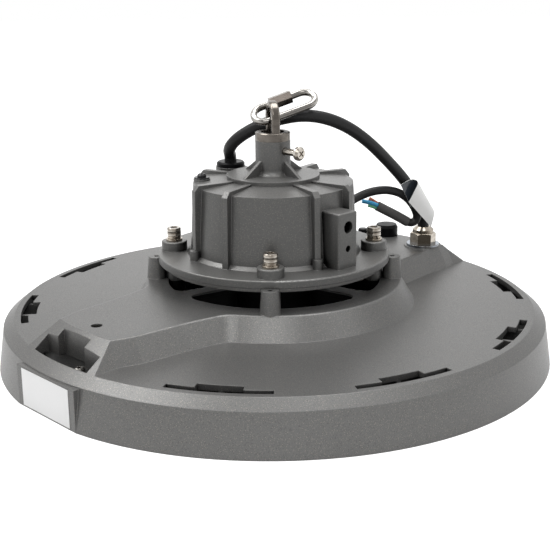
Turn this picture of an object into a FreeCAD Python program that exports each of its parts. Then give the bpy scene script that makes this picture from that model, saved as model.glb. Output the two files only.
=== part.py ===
import FreeCAD, Part
import os
import re
import Sketcher
from math import atan2, cos, degrees, hypot, pi, radians, sin, tan
from FreeCAD import Placement, Rotation, Vector

# High bay light: a cast lamp body that carries a driver housing, with a hanging eye on top.
# Millimetres, +Z up, origin at the centre of the rim that it stands on, front towards -Y.

sizes = {
    # lamp body: skirt, rim and top
    "skirt_radius": 200.0,
    "skirt_height": 28.72,
    "skirt_draft": 4.37,
    "skirt_wall": 4.5,
    "rim_width": 7.97,
    "rim_height": 6.16,
    "top_slope": 0.025,
    "top_wall": 4.0,
    "ledge_width": 8.0,
    "ledge_radius": "=chamber_radius - ledge_width",
    "ledge_lift": 2.28,
    "ledge_height": "=skirt_height + ledge_lift",
    # dome ring with its openings
    "dome_margin": 9.04,
    "dome_radius": "=flange_radius + dome_margin",
    "dome_draft": 31.0,
    "dome_rise": 15.6,
    "dome_ring_width": 15.45,
    "opening_radius": "=dome_radius - dome_ring_width",
    "opening_corner": 8.0,
    "web_width": 11.0,
    "web_angle": 55.0,
    "web_rib": 4.0,
    "hub_radius": 34.0,
    "hub_bore": 24.0,
    "inner_boss_radius": 7.0,
    "inner_boss_offset": 12.6,
    "inner_boss_pitch": "=hub_radius + inner_boss_offset",
    "inner_boss_angle": 33.0,
    # pegs and columns that rise to the driver
    "front_turn": -1.8,
    "bolt_inset": 11.21,
    "bolt_pitch": "=flange_radius - bolt_inset",
    "column_radius": 6.5,
    "peg_offset": 13.5,
    "peg_pitch": "=bolt_pitch + peg_offset",
    "peg_foot_radius": 7.3,
    "peg_top_radius": 6.0,
    "peg_hole_radius": 1.8,
    "peg_hole_depth": 9.0,
    # slots in the top
    "slot_setback": 16.7,
    "slot_width": 5.3,
    "slot_bay_width": 11.0,
    "slot_outer_radius": "=skirt_radius - slot_setback",
    "slot_inner_radius": "=slot_outer_radius - slot_width",
    "slot_bay_radius": "=slot_outer_radius - slot_bay_width",
    "slot_half_angle": 10.6,
    "slot_bay_half_angle": 4.8,
    "slot_first": 37.05,
    "slot_pitch": 36.7,
    "slot_rib": 2.6,
    "slot_rib_angle": 8.2,
    "slot_rib_bottom": 7.0,
    # ridges to the rim
    "left_ridge_angle": -137.9,
    "right_ridge_angle": 47.0,
    "ridge_draft": 29.0,
    "ridge_edge": 2.0,
    "ridge_blend": 22.0,
    "pocket_left": 28.3,
    "pocket_right": 31.6,
    "pocket_setback": 25.8,
    "pocket_end_setback": 12.9,
    "notch_left": 16.5,
    "notch_right": 14.4,
    "notch_setback": 30.8,
    "lug_level": 27.0,
    "lug_angle": 2.4,
    "lug_width": 11.0,
    "lug_reach": 13.0,
    "lug_thickness": 8.0,
    "lug_screw_head": 3.7,
    "lug_screw_height": 2.6,
    "lug_screw_radius": 2.0,
    "lug_screw_length": 6.0,
    "ridge_screw_setback": 45.0,
    "ridge_screw_pitch": "=skirt_radius - ridge_screw_setback",
    "ridge_screw_head": 3.4,
    "ridge_screw_height": 4.0,
    "ridge_screw_flats": 3.0,
    "ridge_hole_radius": 3.8,
    "ridge_hole_depth": 7.0,
    # flat on the skirt with its blank label
    "label_angle": -137.3,
    "label_flat_depth": 2.8,
    "label_flat": "=skirt_radius - label_flat_depth",
    "label_flat_half_width": 33.0,
    "label_flat_height": 27.8,
    "label_width": 54.0,
    "label_height": 25.4,
    "label_lift": 1.2,
    "label_thickness": 0.3,
    # chamber for the light source
    "chamber_setback": 46.0,
    "chamber_radius": "=skirt_radius - chamber_setback",
    "rebate_width": 7.0,
    "rebate_radius": "=chamber_radius + rebate_width",
    "chamber_lip": 7.0,
    "chamber_outer_radius": "=rebate_radius + chamber_lip",
    "chamber_rim": 5.0,
    "rebate_depth": 5.0,
    "seat_gap": 0.3,
    "plate_thickness": 4.0,
    "board_gap": 4.0,
    "board_radius": "=ledge_radius - board_gap",
    "board_thickness": 1.6,
    "chip_length": 3.5,
    "chip_width": 2.8,
    "chip_thickness": 0.7,
    "chip_ring_pitch": 32.0,
    "gasket_thickness": 1.5,
    "lens_thickness": 3.2,
    "bezel_thickness": 2.4,
    "bezel_overhang": 2.0,
    "bezel_inner_radius": "=chamber_radius - bezel_overhang",
    "bezel_screw_pitch": "=(rebate_radius + chamber_outer_radius) / 2",
    "bezel_screw_radius": 2.0,
    "bezel_screw_head": 3.6,
    "bezel_head_height": 2.2,
    "bezel_screw_length": 10.0,
    "bezel_screw_count": 12,
    "plate_screw_pitch": "=(ledge_radius + chamber_radius) / 2",
    "plate_screw_count": 8,
    "thread_gap": 0.2,
    # driver housing
    "flange_radius": 83.71,
    "flange_gap": 18.16,
    "flange_bottom": "=skirt_height + rim_height + dome_rise + flange_gap",
    "flange_thickness": 5.3,
    "flange_round": 1.0,
    "boss_radius": 9.25,
    "boss_height": 6.76,
    "can_bolt_gap": 9.64,
    "can_foot_radius": "=bolt_pitch - can_bolt_gap",
    "can_foot_step": 2.75,
    "can_radius": "=can_foot_radius - can_foot_step",
    "can_chamfer": 2.55,
    "can_draft": 2.77,
    "can_height": 50.14,
    "can_cone": 2.23,
    "can_wall": 5.0,
    "plateau_radius": 33.3,
    "plateau_height": 3.28,
    "rib_thickness": 4.7,
    "rib_reach": 0.64,
    "rib_radius": "=can_foot_radius + rib_reach",
    "rib_lift": 0.9,
    "rib_foot_radius": 3.5,
    "rib_foot_height": 7.0,
    "block_angle": -46.8,
    "block_depth": 10.94,
    "block_reach": "=can_foot_radius + block_depth",
    "block_width": 18.0,
    "block_height": 38.86,
    "block_round": 1.5,
    "block_hole_radius": 4.15,
    "block_hole_rise": 28.66,
    "block_small_hole_radius": 2.25,
    "block_small_hole_rise": 13.56,
    "neck_radius": 12.5,
    "neck_height": 24.3,
    "neck_fillet": 4.0,
    "gusset_reach": 28.0,
    "gusset_height": 10.9,
    "gusset_thickness": 2.6,
    "cover_inset": 4.71,
    "cover_radius": "=flange_radius - cover_inset",
    "cover_thickness": 3.0,
    "cover_gasket": 0.8,
    "module_length": 84.0,
    "module_width": 50.0,
    "module_height": 36.0,
    # screws on the flange
    "m6_radius": 3.0,
    "m6_hole_radius": 3.3,
    "m6_head_radius": 5.0,
    "m6_head_height": 6.0,
    "m6_socket_flats": 5.0,
    "m6_socket_depth": 3.0,
    "m6_thread_depth": 14.0,
    "spring_washer_radius": 4.8,
    "spring_washer_thickness": 2.0,
    "spring_washer_split": 1.0,
    "flat_washer_radius": 5.9,
    "flat_washer_thickness": 1.6,
    # small screws
    "cover_screw_head": 4.2,
    "cover_screw_head_height": 2.6,
    "cover_screw_radius": 2.0,
    "cover_screw_length": 6.0,
    "top_screw_inset": 8.91,
    "top_screw_pitch": "=can_radius - top_screw_inset",
    "top_screw_head": 3.25,
    "top_screw_head_height": 2.4,
    "top_screw_washer": 5.5,
    "top_screw_radius": 1.8,
    "top_screw_length": 5.0,
    "set_screw_radius": 2.45,
    "set_screw_head": 4.9,
    "set_screw_head_height": 3.4,
    "set_screw_rise": 17.5,
    "set_screw_reach": 25.3,
    "pan_edge": 0.55,
    "pan_crown": 0.72,
    "cross_width": 1.1,
    "cross_length": 5.0,
    "cross_depth": 1.6,
    # eye on the neck
    "stud_radius": 8.0,
    "stud_length": 27.0,
    "collar_radius": 12.5,
    "collar_height": 6.0,
    "collar_bore": 8.2,
    "bail_width": 6.0,
    "bail_bar": 5.0,
    "bail_half_span": 9.6,
    "bail_height": 27.6,
    "bail_turn": 12.0,
    "bail_round": 1.4,
    # quick link through the eye
    "link_bar_radius": 2.5,
    "link_half_width": 8.15,
    "link_length": 46.2,
    "link_gap": 4.0,
    "link_x": -12.8,
    "link_y": 4.5,
    "link_rise": 14.91,
    "link_thread": 2.5,
    "nut_flats": 8.4,
    "nut_length": 16.0,
    "nut_start": 15.4,
    "nut_clearance": 0.25,
    # cable glands and plugs
    "lamp_cable_radius": 4.25,
    "mains_lead_radius": 3.25,
    "core_radius": 1.1,
    "cable_gap": 0.2,
    "top_gland_radius": 10.5,
    "top_gland_height": 3.8,
    "top_gland_inset": 7.43,
    "top_gland_angle": 127.13,
    "rear_gland_rise": 21.0,
    "rear_gland_length": 12.14,
    "rear_gland_start": "=can_foot_radius + 1",
    "rear_gland_reach": "=rear_gland_start + rear_gland_length",
    "rear_gland_flats": 13.0,
    "rear_gland_cap_radius": 6.0,
    "lamp_gland_setback": 49.44,
    "lamp_gland_angle": 36.71,
    "lamp_gland_pad": 15.0,
    "lamp_gland_pad_height": 1.2,
    "lamp_gland_washer_radius": 13.0,
    "lamp_gland_washer_thickness": 1.6,
    "lamp_gland_flats": 18.0,
    "lamp_gland_height": 9.0,
    "lamp_gland_cap_radius": 8.4,
    "lamp_gland_cap_height": 5.0,
    "vent_setback": 40.6,
    "vent_angle": 53.42,
    "vent_radius": 9.35,
    "vent_height": 9.5,
    "small_plug_setback": 53.37,
    "small_plug_angle": 59.24,
    "small_plug_radius": 4.0,
    "small_plug_height": 6.0,
    "tag_thickness": 0.5,
}

os.makedirs("parts", exist_ok=True)
doc = FreeCAD.newDocument("HighBayLight")
sheet = doc.addObject("Spreadsheet::Sheet", "Sizes")
for row, word in enumerate(sizes, start=1):
    sheet.set(f"A{row}", word)
    sheet.setAlias(f"B{row}", word)
for row, size in enumerate(sizes.values(), start=1):
    sheet.set(f"B{row}", str(size))
doc.recompute()

ORIGIN = Vector(0, 0, 0)
UP = Vector(0, 0, 1)
pieces = []


# Levels and shapes that several pieces share.

def top_level(radius):
    """Height of the shallow conical top at a radius."""
    rim_top = sheet.skirt_height + sheet.rim_height
    rim_top_radius = sheet.skirt_radius - sheet.skirt_draft - sheet.rim_width
    return rim_top + (rim_top_radius - radius) * sheet.top_slope


def ridge_level(radius):
    return top_level(radius) + sheet.dome_rise


flange_top = sheet.flange_bottom + sheet.flange_thickness
can_shoulder = flange_top + sheet.can_height
plateau_level = can_shoulder + sheet.can_cone + sheet.plateau_height
neck_top = plateau_level + sheet.neck_height
web_turns = [-90 + sheet.front_turn + side * sheet.web_angle for side in (-1, 1)]
web_turns += [90 + sheet.front_turn + side * sheet.web_angle for side in (-1, 1)]
quarter_turns = [-90 + sheet.front_turn + 90 * step for step in range(4)]


def polar(radius, turn, height=0.0):
    return Vector(radius * cos(radians(turn)), radius * sin(radians(turn)), height)


def turned(points):
    """Solid of revolution about Z through (radius, height) points."""
    corners = [Vector(radius, 0, height) for radius, height in points]
    outline = Part.Face(Part.makePolygon(corners + corners[:1]))
    return outline.revolve(ORIGIN, UP, 360)


def disc(radius, bottom, top, centre=ORIGIN):
    return Part.makeCylinder(radius, top - bottom, Vector(centre.x, centre.y, bottom))


def ring_sector(inner, outer, middle, half_angle, bottom, top):
    """Part of a ring between two radii, centred on a direction."""
    whole = Part.makeCylinder(outer, top - bottom, Vector(0, 0, bottom), UP, 2 * half_angle)
    whole = whole.cut(disc(inner, bottom - 1, top + 1))
    whole.rotate(ORIGIN, UP, middle - half_angle)
    return whole


def bar_along(turn, start, end, width, bottom, top):
    """Upright bar of a given width that runs outwards in one direction."""
    bar = Part.makeBox(end - start, width, top - bottom, Vector(start, -width / 2, bottom))
    bar.rotate(ORIGIN, UP, turn)
    return bar


def radial_plate(turn, points, thickness):
    """Plate that stands on a radius, drawn as (radius, height) points."""
    corners = [Vector(radius, -thickness / 2, height) for radius, height in points]
    plate = Part.Face(Part.makePolygon(corners + corners[:1])).extrude(Vector(0, thickness, 0))
    plate.rotate(ORIGIN, UP, turn)
    return plate


def hexagon(flats, bottom, top, centre=ORIGIN):
    """Upright hexagonal prism with a given width across flats."""
    reach = flats / 2 / cos(pi / 6)
    corners = [centre + polar(reach, 60 * step, bottom) for step in range(7)]
    return Part.Face(Part.makePolygon(corners)).extrude(Vector(0, 0, top - bottom))


def upright_edges(shape):
    """Straight vertical edges of a shape."""
    found = []
    for edge in shape.Edges:
        ends = [vertex.Point for vertex in edge.Vertexes]
        if len(ends) == 2 and hypot(ends[0].x - ends[1].x, ends[0].y - ends[1].y) < 0.001:
            found.append(edge)
    return found


def edges_at(shape, height):
    """Edges that lie wholly at one height."""
    return [edge for edge in shape.Edges
            if all(abs(vertex.Z - height) < 0.001 for vertex in edge.Vertexes)
            and abs(edge.CenterOfMass.z - height) < 0.001]


def keep(label, shape):
    """Add a shape to the document as a sub-part of that name."""
    feature = doc.addObject("Part::Feature", label)
    feature.Label = label
    feature.Shape = shape
    pieces.append(feature)
    return feature


def cells(text):
    """Spell the words of an outline as cells of the sheet."""
    return re.sub(r"[a-z]\w+", lambda word: "Sizes." + word.group(0), text)


def origin_plane(body, role):
    return next(item for item in body.Origin.OriginFeatures if item.Role == role)


def new_sketch(body, name, role):
    sketch = body.newObject("Sketcher::SketchObject", name)
    sketch.AttachmentSupport = [(origin_plane(body, role), "")]
    sketch.MapMode = "FlatFace"
    return sketch


def bind_place(sketch, item, point, across, along):
    """Tie a sketch point to two distances from the origin, given in the sheet's words."""
    for kind, axis, text in (("DistanceX", -2, across), ("DistanceY", -1, along)):
        if text == "0":
            sketch.addConstraint(Sketcher.Constraint("PointOnObject", item, point, axis))
        else:
            number = sketch.addConstraint(Sketcher.Constraint(kind, -1, 1, item, point, 10.0))
            sketch.setExpression(f"Constraints[{number}]", cells(text))


def turned_body(label, outline):
    """Body turned about Z from an outline of (radius, height) words."""
    body = doc.addObject("PartDesign::Body", label)
    body.Label = label
    sketch = new_sketch(body, label + "_outline", "XZ_Plane")
    count = len(outline)
    start = [Vector(20 + 10 * cos(2 * pi * step / count), 20 + 10 * sin(2 * pi * step / count), 0)
             for step in range(count)]
    for step in range(count):
        sketch.addGeometry(Part.LineSegment(start[step], start[(step + 1) % count]), False)
    for step in range(count):
        sketch.addConstraint(Sketcher.Constraint("Coincident", step, 2, (step + 1) % count, 1))
    for step, (across, along) in enumerate(outline):
        bind_place(sketch, step, 1, across, along)
    turn = body.newObject("PartDesign::Revolution", label + "_turned")
    turn.Profile = sketch
    turn.ReferenceAxis = (sketch, ["V_Axis"])
    turn.Angle = 360
    sketch.Visibility = False
    doc.recompute()
    return body


def drill_circle(body, pitch, radius, count):
    """Drill holes on a circle through the whole of a body."""
    sketch = new_sketch(body, body.Label + "_hole", "XY_Plane")
    circle = sketch.addGeometry(Part.Circle(Vector(50, 0, 0), UP, 2.0), False)
    bind_place(sketch, circle, 3, pitch, "0")
    number = sketch.addConstraint(Sketcher.Constraint("Radius", circle, 2.0))
    sketch.setExpression(f"Constraints[{number}]", cells(radius))
    hole = body.newObject("PartDesign::Pocket", body.Label + "_drill")
    hole.Profile = sketch
    hole.Type = 1
    hole.Midplane = True
    before = body.Shape.Volume
    doc.recompute()
    pattern = body.newObject("PartDesign::PolarPattern", body.Label + "_holes")
    pattern.Originals = [hole]
    pattern.Axis = (sketch, ["N_Axis"])
    pattern.Angle = 360
    pattern.setExpression("Occurrences", cells(count))
    body.Tip = pattern
    doc.recompute()
    if body.Shape.Volume >= before:
        raise RuntimeError("no holes in " + body.Label)
    return body


# Lamp body: one casting.

def lamp_shell():
    """Skirt, rim, low top and the wall of the light chamber, as one turned section."""
    rim_radius = sheet.skirt_radius - sheet.skirt_draft
    top_radius = rim_radius - sheet.rim_width
    inner_rim = sheet.skirt_radius - sheet.skirt_wall
    inner_edge = rim_radius - sheet.skirt_wall
    inner_top = top_radius - sheet.skirt_wall / 3
    wall = sheet.top_wall
    return turned([
        (sheet.opening_radius, top_level(sheet.opening_radius)),
        (top_radius, top_level(top_radius)),
        (rim_radius, sheet.skirt_height),
        (sheet.skirt_radius, 0),
        (inner_rim, 0),
        (inner_edge, sheet.skirt_height - 1.5),
        (inner_top, top_level(top_radius) - wall),
        (sheet.chamber_outer_radius, top_level(sheet.chamber_outer_radius) - wall),
        (sheet.chamber_outer_radius, sheet.chamber_rim),
        (sheet.rebate_radius, sheet.chamber_rim),
        (sheet.rebate_radius, sheet.chamber_rim + sheet.rebate_depth),
        (sheet.chamber_radius, sheet.chamber_rim + sheet.rebate_depth),
        (sheet.chamber_radius, sheet.ledge_height),
        (sheet.ledge_radius, sheet.ledge_height),
        (sheet.ledge_radius, top_level(sheet.ledge_radius) - wall),
        (sheet.opening_radius, top_level(sheet.opening_radius) - wall),
    ])


def slot_middles():
    """Directions of the slots, counted both ways from the left ridge."""
    return [sheet.left_ridge_angle + side * (sheet.slot_first + step * sheet.slot_pitch)
            for side in (-1, 1) for step in range(4)]


def slot_ribs():
    """Ribs between the chamber and the skirt, under the middle and the ends of each slot."""
    inner = sheet.chamber_outer_radius - 1
    rim_radius = sheet.skirt_radius - sheet.skirt_draft
    lean = sheet.skirt_draft / sheet.skirt_height
    bottom = sheet.slot_rib_bottom
    low_reach = sheet.skirt_radius - bottom * lean - sheet.skirt_wall / 2
    high_reach = rim_radius - sheet.skirt_wall / 2
    under = top_level(sheet.chamber_outer_radius) - sheet.top_wall / 2
    outline = [(inner, bottom), (low_reach, bottom), (high_reach, sheet.skirt_height - 1),
               (rim_radius - sheet.rim_width, under), (inner, under)]
    return [radial_plate(middle + offset, outline, sheet.slot_rib)
            for middle in slot_middles()
            for offset in (-sheet.slot_rib_angle, 0, sheet.slot_rib_angle)]


def dome_webs():
    """Hub and four webs across the dome, with round corners where they meet the ring."""
    dome_top = ridge_level(sheet.dome_radius)
    under = dome_top - sheet.top_wall
    openings = disc(sheet.opening_radius, under - 1, dome_top + 1)
    openings = openings.cut(disc(sheet.hub_radius, under - 2, dome_top + 2))
    for turn in web_turns:
        openings = openings.cut(bar_along(turn, 0, 90, sheet.web_width, under - 2, dome_top + 2))
    openings = openings.makeFillet(sheet.opening_corner, upright_edges(openings))
    sheet_top = disc(sheet.opening_radius + 2, under, dome_top).cut(openings)
    ribs = disc(sheet.hub_radius, sheet.ledge_height, under)
    for turn in web_turns:
        ribs = ribs.fuse(bar_along(turn, 0, sheet.opening_radius + 4, sheet.web_rib,
                                   sheet.ledge_height, under))
    web = sheet_top.fuse(ribs)
    return web.cut(disc(sheet.hub_bore, sheet.ledge_height - 1, dome_top + 1))


def dome_bosses():
    """Columns under the driver's screws, pegs beside them and two inner bosses."""
    dome_top = ridge_level(sheet.dome_radius)
    parts = []
    for turn in quarter_turns:
        column = polar(sheet.bolt_pitch, turn)
        parts.append(disc(sheet.column_radius, sheet.ledge_height, sheet.flange_bottom, column))
        foot = dome_top - 1
        parts.append(Part.makeCone(sheet.peg_foot_radius, sheet.peg_top_radius,
                                   sheet.flange_bottom - foot, polar(sheet.peg_pitch, turn, foot)))
    for side in (-1, 1):
        turn = 90 + sheet.front_turn + side * sheet.inner_boss_angle
        parts.append(disc(sheet.inner_boss_radius, sheet.ledge_height, dome_top,
                          polar(sheet.inner_boss_pitch, turn)))
        parts.append(bar_along(turn, sheet.hub_bore + 3, sheet.inner_boss_pitch, sheet.web_rib,
                               sheet.ledge_height, dome_top - sheet.top_wall))
    return parts


def ridge(turn, stations, shrink):
    """Raised box from the dome to the rim, drafted on its sides and cut by the rim's cone.

    Its plan at the roof is given by (distance, half width) stations. It stands higher than the
    roof, which trims it. A positive shrink gives the hollow inside.
    """
    slope = tan(radians(sheet.ridge_draft))
    low = sheet.ledge_height + 1.0
    high = ridge_level(sheet.dome_radius) + 2.0
    upper = []
    lower = []
    for side, row in ((-1, stations), (1, stations[::-1])):
        for distance, half_width in row:
            height = ridge_level(distance) - shrink
            crest = half_width - shrink
            upper.append(Vector(distance, side * (crest - (high - height) * slope), high))
            lower.append(Vector(distance, side * (crest + (height - low) * slope), low))
    solid = Part.makeLoft([Part.makePolygon(wire + wire[:1]) for wire in (lower, upper)], True, True)
    solid.rotate(ORIGIN, UP, turn)
    return solid


def rim_cone():
    """Cone of the rim's slope, carried on upwards: it ends the ridges."""
    low = sheet.ledge_height + 1.0
    radius = sheet.skirt_radius - sheet.skirt_draft - sheet.rim_width
    fall = sheet.rim_width / sheet.rim_height
    foot = radius + (top_level(radius) - low) * fall
    return Part.makeCone(foot, foot - 30 * fall, 30, Vector(0, 0, low))


def roof(shrink):
    """Everything under the top of the dome and the ridges."""
    flat = sheet.dome_radius - 3.0
    outer = sheet.skirt_radius + 20
    top = ridge_level(flat) - shrink
    return turned([(0, 0), (outer, 0), (outer, ridge_level(outer) - shrink), (flat, top), (0, top)])


def ridge_stations():
    """Plans of the left and the right ridge, from the dome to the rim."""
    start = sheet.opening_radius - 15
    foot = sheet.dome_radius
    edge = sheet.skirt_radius
    left = [(start, 47.1), (foot + 22.25, 38.0), (edge - 50, 34.6), (edge - 34.5, 29.3),
            (edge, 31.2)]
    right = [(start, 46.1), (foot + 39.25, 38.6), (edge - 45, 37.6), (edge - 31.3, 34.6),
             (edge, 36.4)]
    return left, right


def raised_form():
    """Dome and both ridges as one solid, the left ridge blended into the dome."""
    low = sheet.ledge_height + 1.0
    high = ridge_level(sheet.dome_radius) + 2.0
    lean = tan(radians(sheet.dome_draft))
    crown = sheet.dome_radius - 2.0 * lean
    dome = Part.makeCone(crown + (high - low) * lean, crown, high - low, Vector(0, 0, low))
    left, right = ridge_stations()
    form = dome.fuse(ridge(sheet.left_ridge_angle, left, 0))
    blends = []
    for edge in form.Edges:
        middle = edge.CenterOfMass
        away = abs(degrees(atan2(middle.y, middle.x)) - sheet.left_ridge_angle)
        reach = hypot(middle.x, middle.y)
        if edge.BoundBox.ZLength > 15 and 15 < away < 40 and reach < crown + 14:
            blends.append(edge)
    if len(blends) != 2:
        raise RuntimeError("left ridge should meet the dome along two edges")
    form = form.makeFillet(sheet.ridge_blend, blends)
    form = form.fuse(ridge(sheet.right_ridge_angle, right, 0)).common(roof(0))
    crest = []
    for edge in form.Edges:
        points = edge.discretize(5)
        on_roof = all(abs(point.z - min(ridge_level(hypot(point.x, point.y)),
                                        ridge_level(sheet.dome_radius - 3.0))) < 0.01
                      for point in points)
        if on_roof and max(hypot(point.x, point.y) for point in points) > sheet.dome_radius - 2:
            crest.append(edge)
    form = form.makeFillet(sheet.ridge_edge, crest)
    return form.common(rim_cone())


def hollow_form():
    """Hollow under the dome and the ridges, inside the ledge."""
    wall = sheet.top_wall
    lean = tan(radians(sheet.dome_draft))
    top = ridge_level(sheet.dome_radius) - wall
    bottom = sheet.ledge_height
    inner_dome = sheet.dome_radius - wall / 2
    dome = turned([(0, bottom), (inner_dome + (top - bottom) * lean, bottom), (inner_dome, top), (0, top)])
    limit = disc(sheet.ledge_radius, 0, 2 * top)
    cores = [ridge(turn, stations, wall).common(roof(wall)).common(limit)
             for turn, stations in zip((sheet.left_ridge_angle, sheet.right_ridge_angle),
                                       ridge_stations())]
    return [dome] + cores


def ridge_pocket():
    """Opening in the end of the left ridge, down into the gap behind the skirt."""
    edge = sheet.skirt_radius
    top = ridge_level(0)
    under = top_level(sheet.chamber_outer_radius) - sheet.top_wall - 1
    recesses = []
    for setback, left, right in ((sheet.pocket_setback, sheet.pocket_left, sheet.pocket_right),
                                 (sheet.notch_setback, sheet.notch_left, sheet.notch_right)):
        recess = Part.makeBox(setback, left + right, top, Vector(edge - setback, -left, 0))
        recess.rotate(ORIGIN, UP, sheet.left_ridge_angle)
        recesses.append(recess)
    reach = disc(edge - sheet.pocket_end_setback, under, top)
    return recesses[0].fuse(recesses[1]).common(reach)


def slot_cutters():
    cutters = []
    bottom = top_level(sheet.chamber_outer_radius) - sheet.top_wall - 1
    top = ridge_level(0)
    for middle in slot_middles():
        cutters.append(ring_sector(sheet.slot_inner_radius, sheet.slot_outer_radius, middle,
                                   sheet.slot_half_angle, bottom, top))
        cutters.append(ring_sector(sheet.slot_bay_radius, sheet.slot_outer_radius - 0.3, middle,
                                   sheet.slot_bay_half_angle, bottom, top))
    return cutters


def holes_at(pitch, radius, count, start, bottom, top):
    return [disc(radius, bottom, top, polar(pitch, start + 360 * step / count))
            for step in range(count)]


def lamp_gland_place():
    return polar(sheet.skirt_radius - sheet.lamp_gland_setback, sheet.lamp_gland_angle)


def lug_seat():
    """Seat of the screw in the pocket, on a lug of the chamber's wall."""
    return polar(sheet.chamber_outer_radius + sheet.lug_reach / 2,
                 sheet.left_ridge_angle + sheet.lug_angle, sheet.lug_level)


def make_lamp_housing():
    body = lamp_shell().fuse(raised_form())
    gland_place = lamp_gland_place()
    gland_level = ridge_level(gland_place.Length)
    pad_top = gland_level + sheet.lamp_gland_pad_height
    pad = disc(sheet.lamp_gland_pad, gland_level - 1, pad_top, gland_place)
    body = body.fuse(pad.common(ridge(sheet.right_ridge_angle, ridge_stations()[1], 0)))
    body = body.cut(hollow_form() + [disc(sheet.opening_radius, sheet.ledge_height - 5, 80)])
    body = body.fuse(dome_bosses() + [dome_webs()] + slot_ribs())
    flat_end = sheet.skirt_radius + 1
    half = 2 * sheet.label_flat_half_width
    face_cut = bar_along(sheet.label_angle, sheet.label_flat, flat_end, half, -1,
                         sheet.label_flat_height)
    pad = bar_along(sheet.label_angle, sheet.label_flat - 6, sheet.label_flat, half, 0,
                    sheet.label_flat_height)
    body = body.cut(face_cut).fuse(pad)
    cutters = slot_cutters() + [ridge_pocket()]
    lug = bar_along(sheet.left_ridge_angle + sheet.lug_angle, sheet.chamber_outer_radius - 1,
                    sheet.chamber_outer_radius + sheet.lug_reach, sheet.lug_width,
                    sheet.lug_level - sheet.lug_thickness, sheet.lug_level)
    body = body.fuse(lug)
    seat = lug_seat()
    cutters.append(disc(sheet.lug_screw_radius + sheet.thread_gap,
                        sheet.lug_level - sheet.lug_screw_length - 1, sheet.lug_level + 1, seat))
    screw_place = polar(sheet.ridge_screw_pitch, sheet.left_ridge_angle)
    screw_top = ridge_level(sheet.ridge_screw_pitch)
    cutters.append(disc(sheet.ridge_hole_radius, screw_top - sheet.ridge_hole_depth, screw_top + 1,
                        screw_place))
    for turn in quarter_turns:
        cutters.append(disc(sheet.m6_radius + sheet.thread_gap,
                            sheet.flange_bottom - sheet.m6_thread_depth, sheet.flange_bottom + 1,
                            polar(sheet.bolt_pitch, turn)))
        cutters.append(disc(sheet.peg_hole_radius, sheet.flange_bottom - sheet.peg_hole_depth,
                            sheet.flange_bottom + 1, polar(sheet.peg_pitch, turn)))
    cutters += holes_at(sheet.bezel_screw_pitch, sheet.bezel_screw_radius + sheet.thread_gap,
                        int(sheet.bezel_screw_count), 15, 0,
                        sheet.chamber_rim - sheet.bezel_thickness + sheet.bezel_screw_length + 1)
    cutters += holes_at(sheet.plate_screw_pitch, sheet.bezel_screw_radius + sheet.thread_gap,
                        int(sheet.plate_screw_count), 0, sheet.ledge_height - 1,
                        sheet.ledge_height + 3)
    gland_bore = sheet.lamp_cable_radius + sheet.cable_gap
    cutters.append(disc(gland_bore, sheet.ledge_height + 1, pad_top + 1, gland_place))
    body = body.cut(cutters)
    keep("lamp_housing", body)
    return pad_top


# Driver housing: one casting.

def driver_can():
    foot = flange_top
    radius = sheet.can_radius
    upper = radius - sheet.can_draft
    flange = disc(sheet.flange_radius, sheet.flange_bottom, flange_top)
    flange = flange.makeFillet(sheet.flange_round, edges_at(flange, flange_top))
    can = turned([
        (0, sheet.flange_bottom + 1),
        (sheet.can_foot_radius, sheet.flange_bottom + 1),
        (sheet.can_foot_radius, foot),
        (radius, foot + sheet.can_chamfer),
        (upper, can_shoulder),
        (sheet.plateau_radius, can_shoulder + sheet.can_cone),
        (sheet.plateau_radius, plateau_level),
        (0, plateau_level),
    ])
    neck = disc(sheet.neck_radius, plateau_level - 1, neck_top)
    can = can.fuse(neck).removeSplitter()
    joint = [edge for edge in edges_at(can, plateau_level)
             if abs(edge.Curve.Radius - sheet.neck_radius) < 0.01]
    can = can.makeFillet(sheet.neck_fillet, joint)
    return flange.fuse(can)


def can_ribs():
    """Eight cooling ribs that run up the wall and in over the top to the raised plate."""
    ribs = []
    inside = sheet.can_radius - 8
    for front in (-90, 90):
        for offset in (-60, -30, 30, 60):
            turn = front + sheet.front_turn + offset
            outline = [(inside, flange_top - 1), (sheet.rib_radius, flange_top - 1),
                       (sheet.rib_radius - 0.7, can_shoulder - 0.8), (sheet.rib_radius - 4, rib_crown),
                       (sheet.plateau_radius - 1, rib_crown + 0.3), (sheet.plateau_radius - 1, rib_crown - 5),
                       (inside, rib_crown - 7)]
            ribs.append(radial_plate(turn, outline, sheet.rib_thickness))
    for turn in (-61.8, 28.2, 118.2, -151.8):
        place = polar(sheet.can_foot_radius, turn)
        ribs.append(disc(sheet.rib_foot_radius, flange_top - 1, flange_top + sheet.rib_foot_height,
                         place))
    return ribs


def can_block():
    """Upright block beside the can with two blind holes in its face."""
    block = bar_along(0, 50, sheet.block_reach, sheet.block_width, flange_top - 1,
                      flange_top + sheet.block_height)
    outer = [edge for edge in block.Edges if edge.CenterOfMass.x > 51
             and edge.CenterOfMass.z > flange_top]
    block = block.makeFillet(sheet.block_round, outer)
    for radius, rise, depth in ((sheet.block_hole_radius, sheet.block_hole_rise, 9),
                                (sheet.block_small_hole_radius, sheet.block_small_hole_rise, 11)):
        mouth = Vector(sheet.block_reach + 1, 0, flange_top + rise)
        block = block.cut(Part.makeCylinder(radius, depth, mouth, Vector(-1, 0, 0)))
    block.rotate(ORIGIN, UP, sheet.block_angle)
    return block


def neck_gussets():
    outline = [(8, plateau_level - 1), (sheet.gusset_reach + 0.8, plateau_level - 1),
               (sheet.gusset_reach, plateau_level),
               (sheet.neck_radius - 0.5, plateau_level + sheet.gusset_height),
               (8, plateau_level + sheet.gusset_height)]
    return [radial_plate(turn + 45, outline, sheet.gusset_thickness) for turn in quarter_turns]


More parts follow.
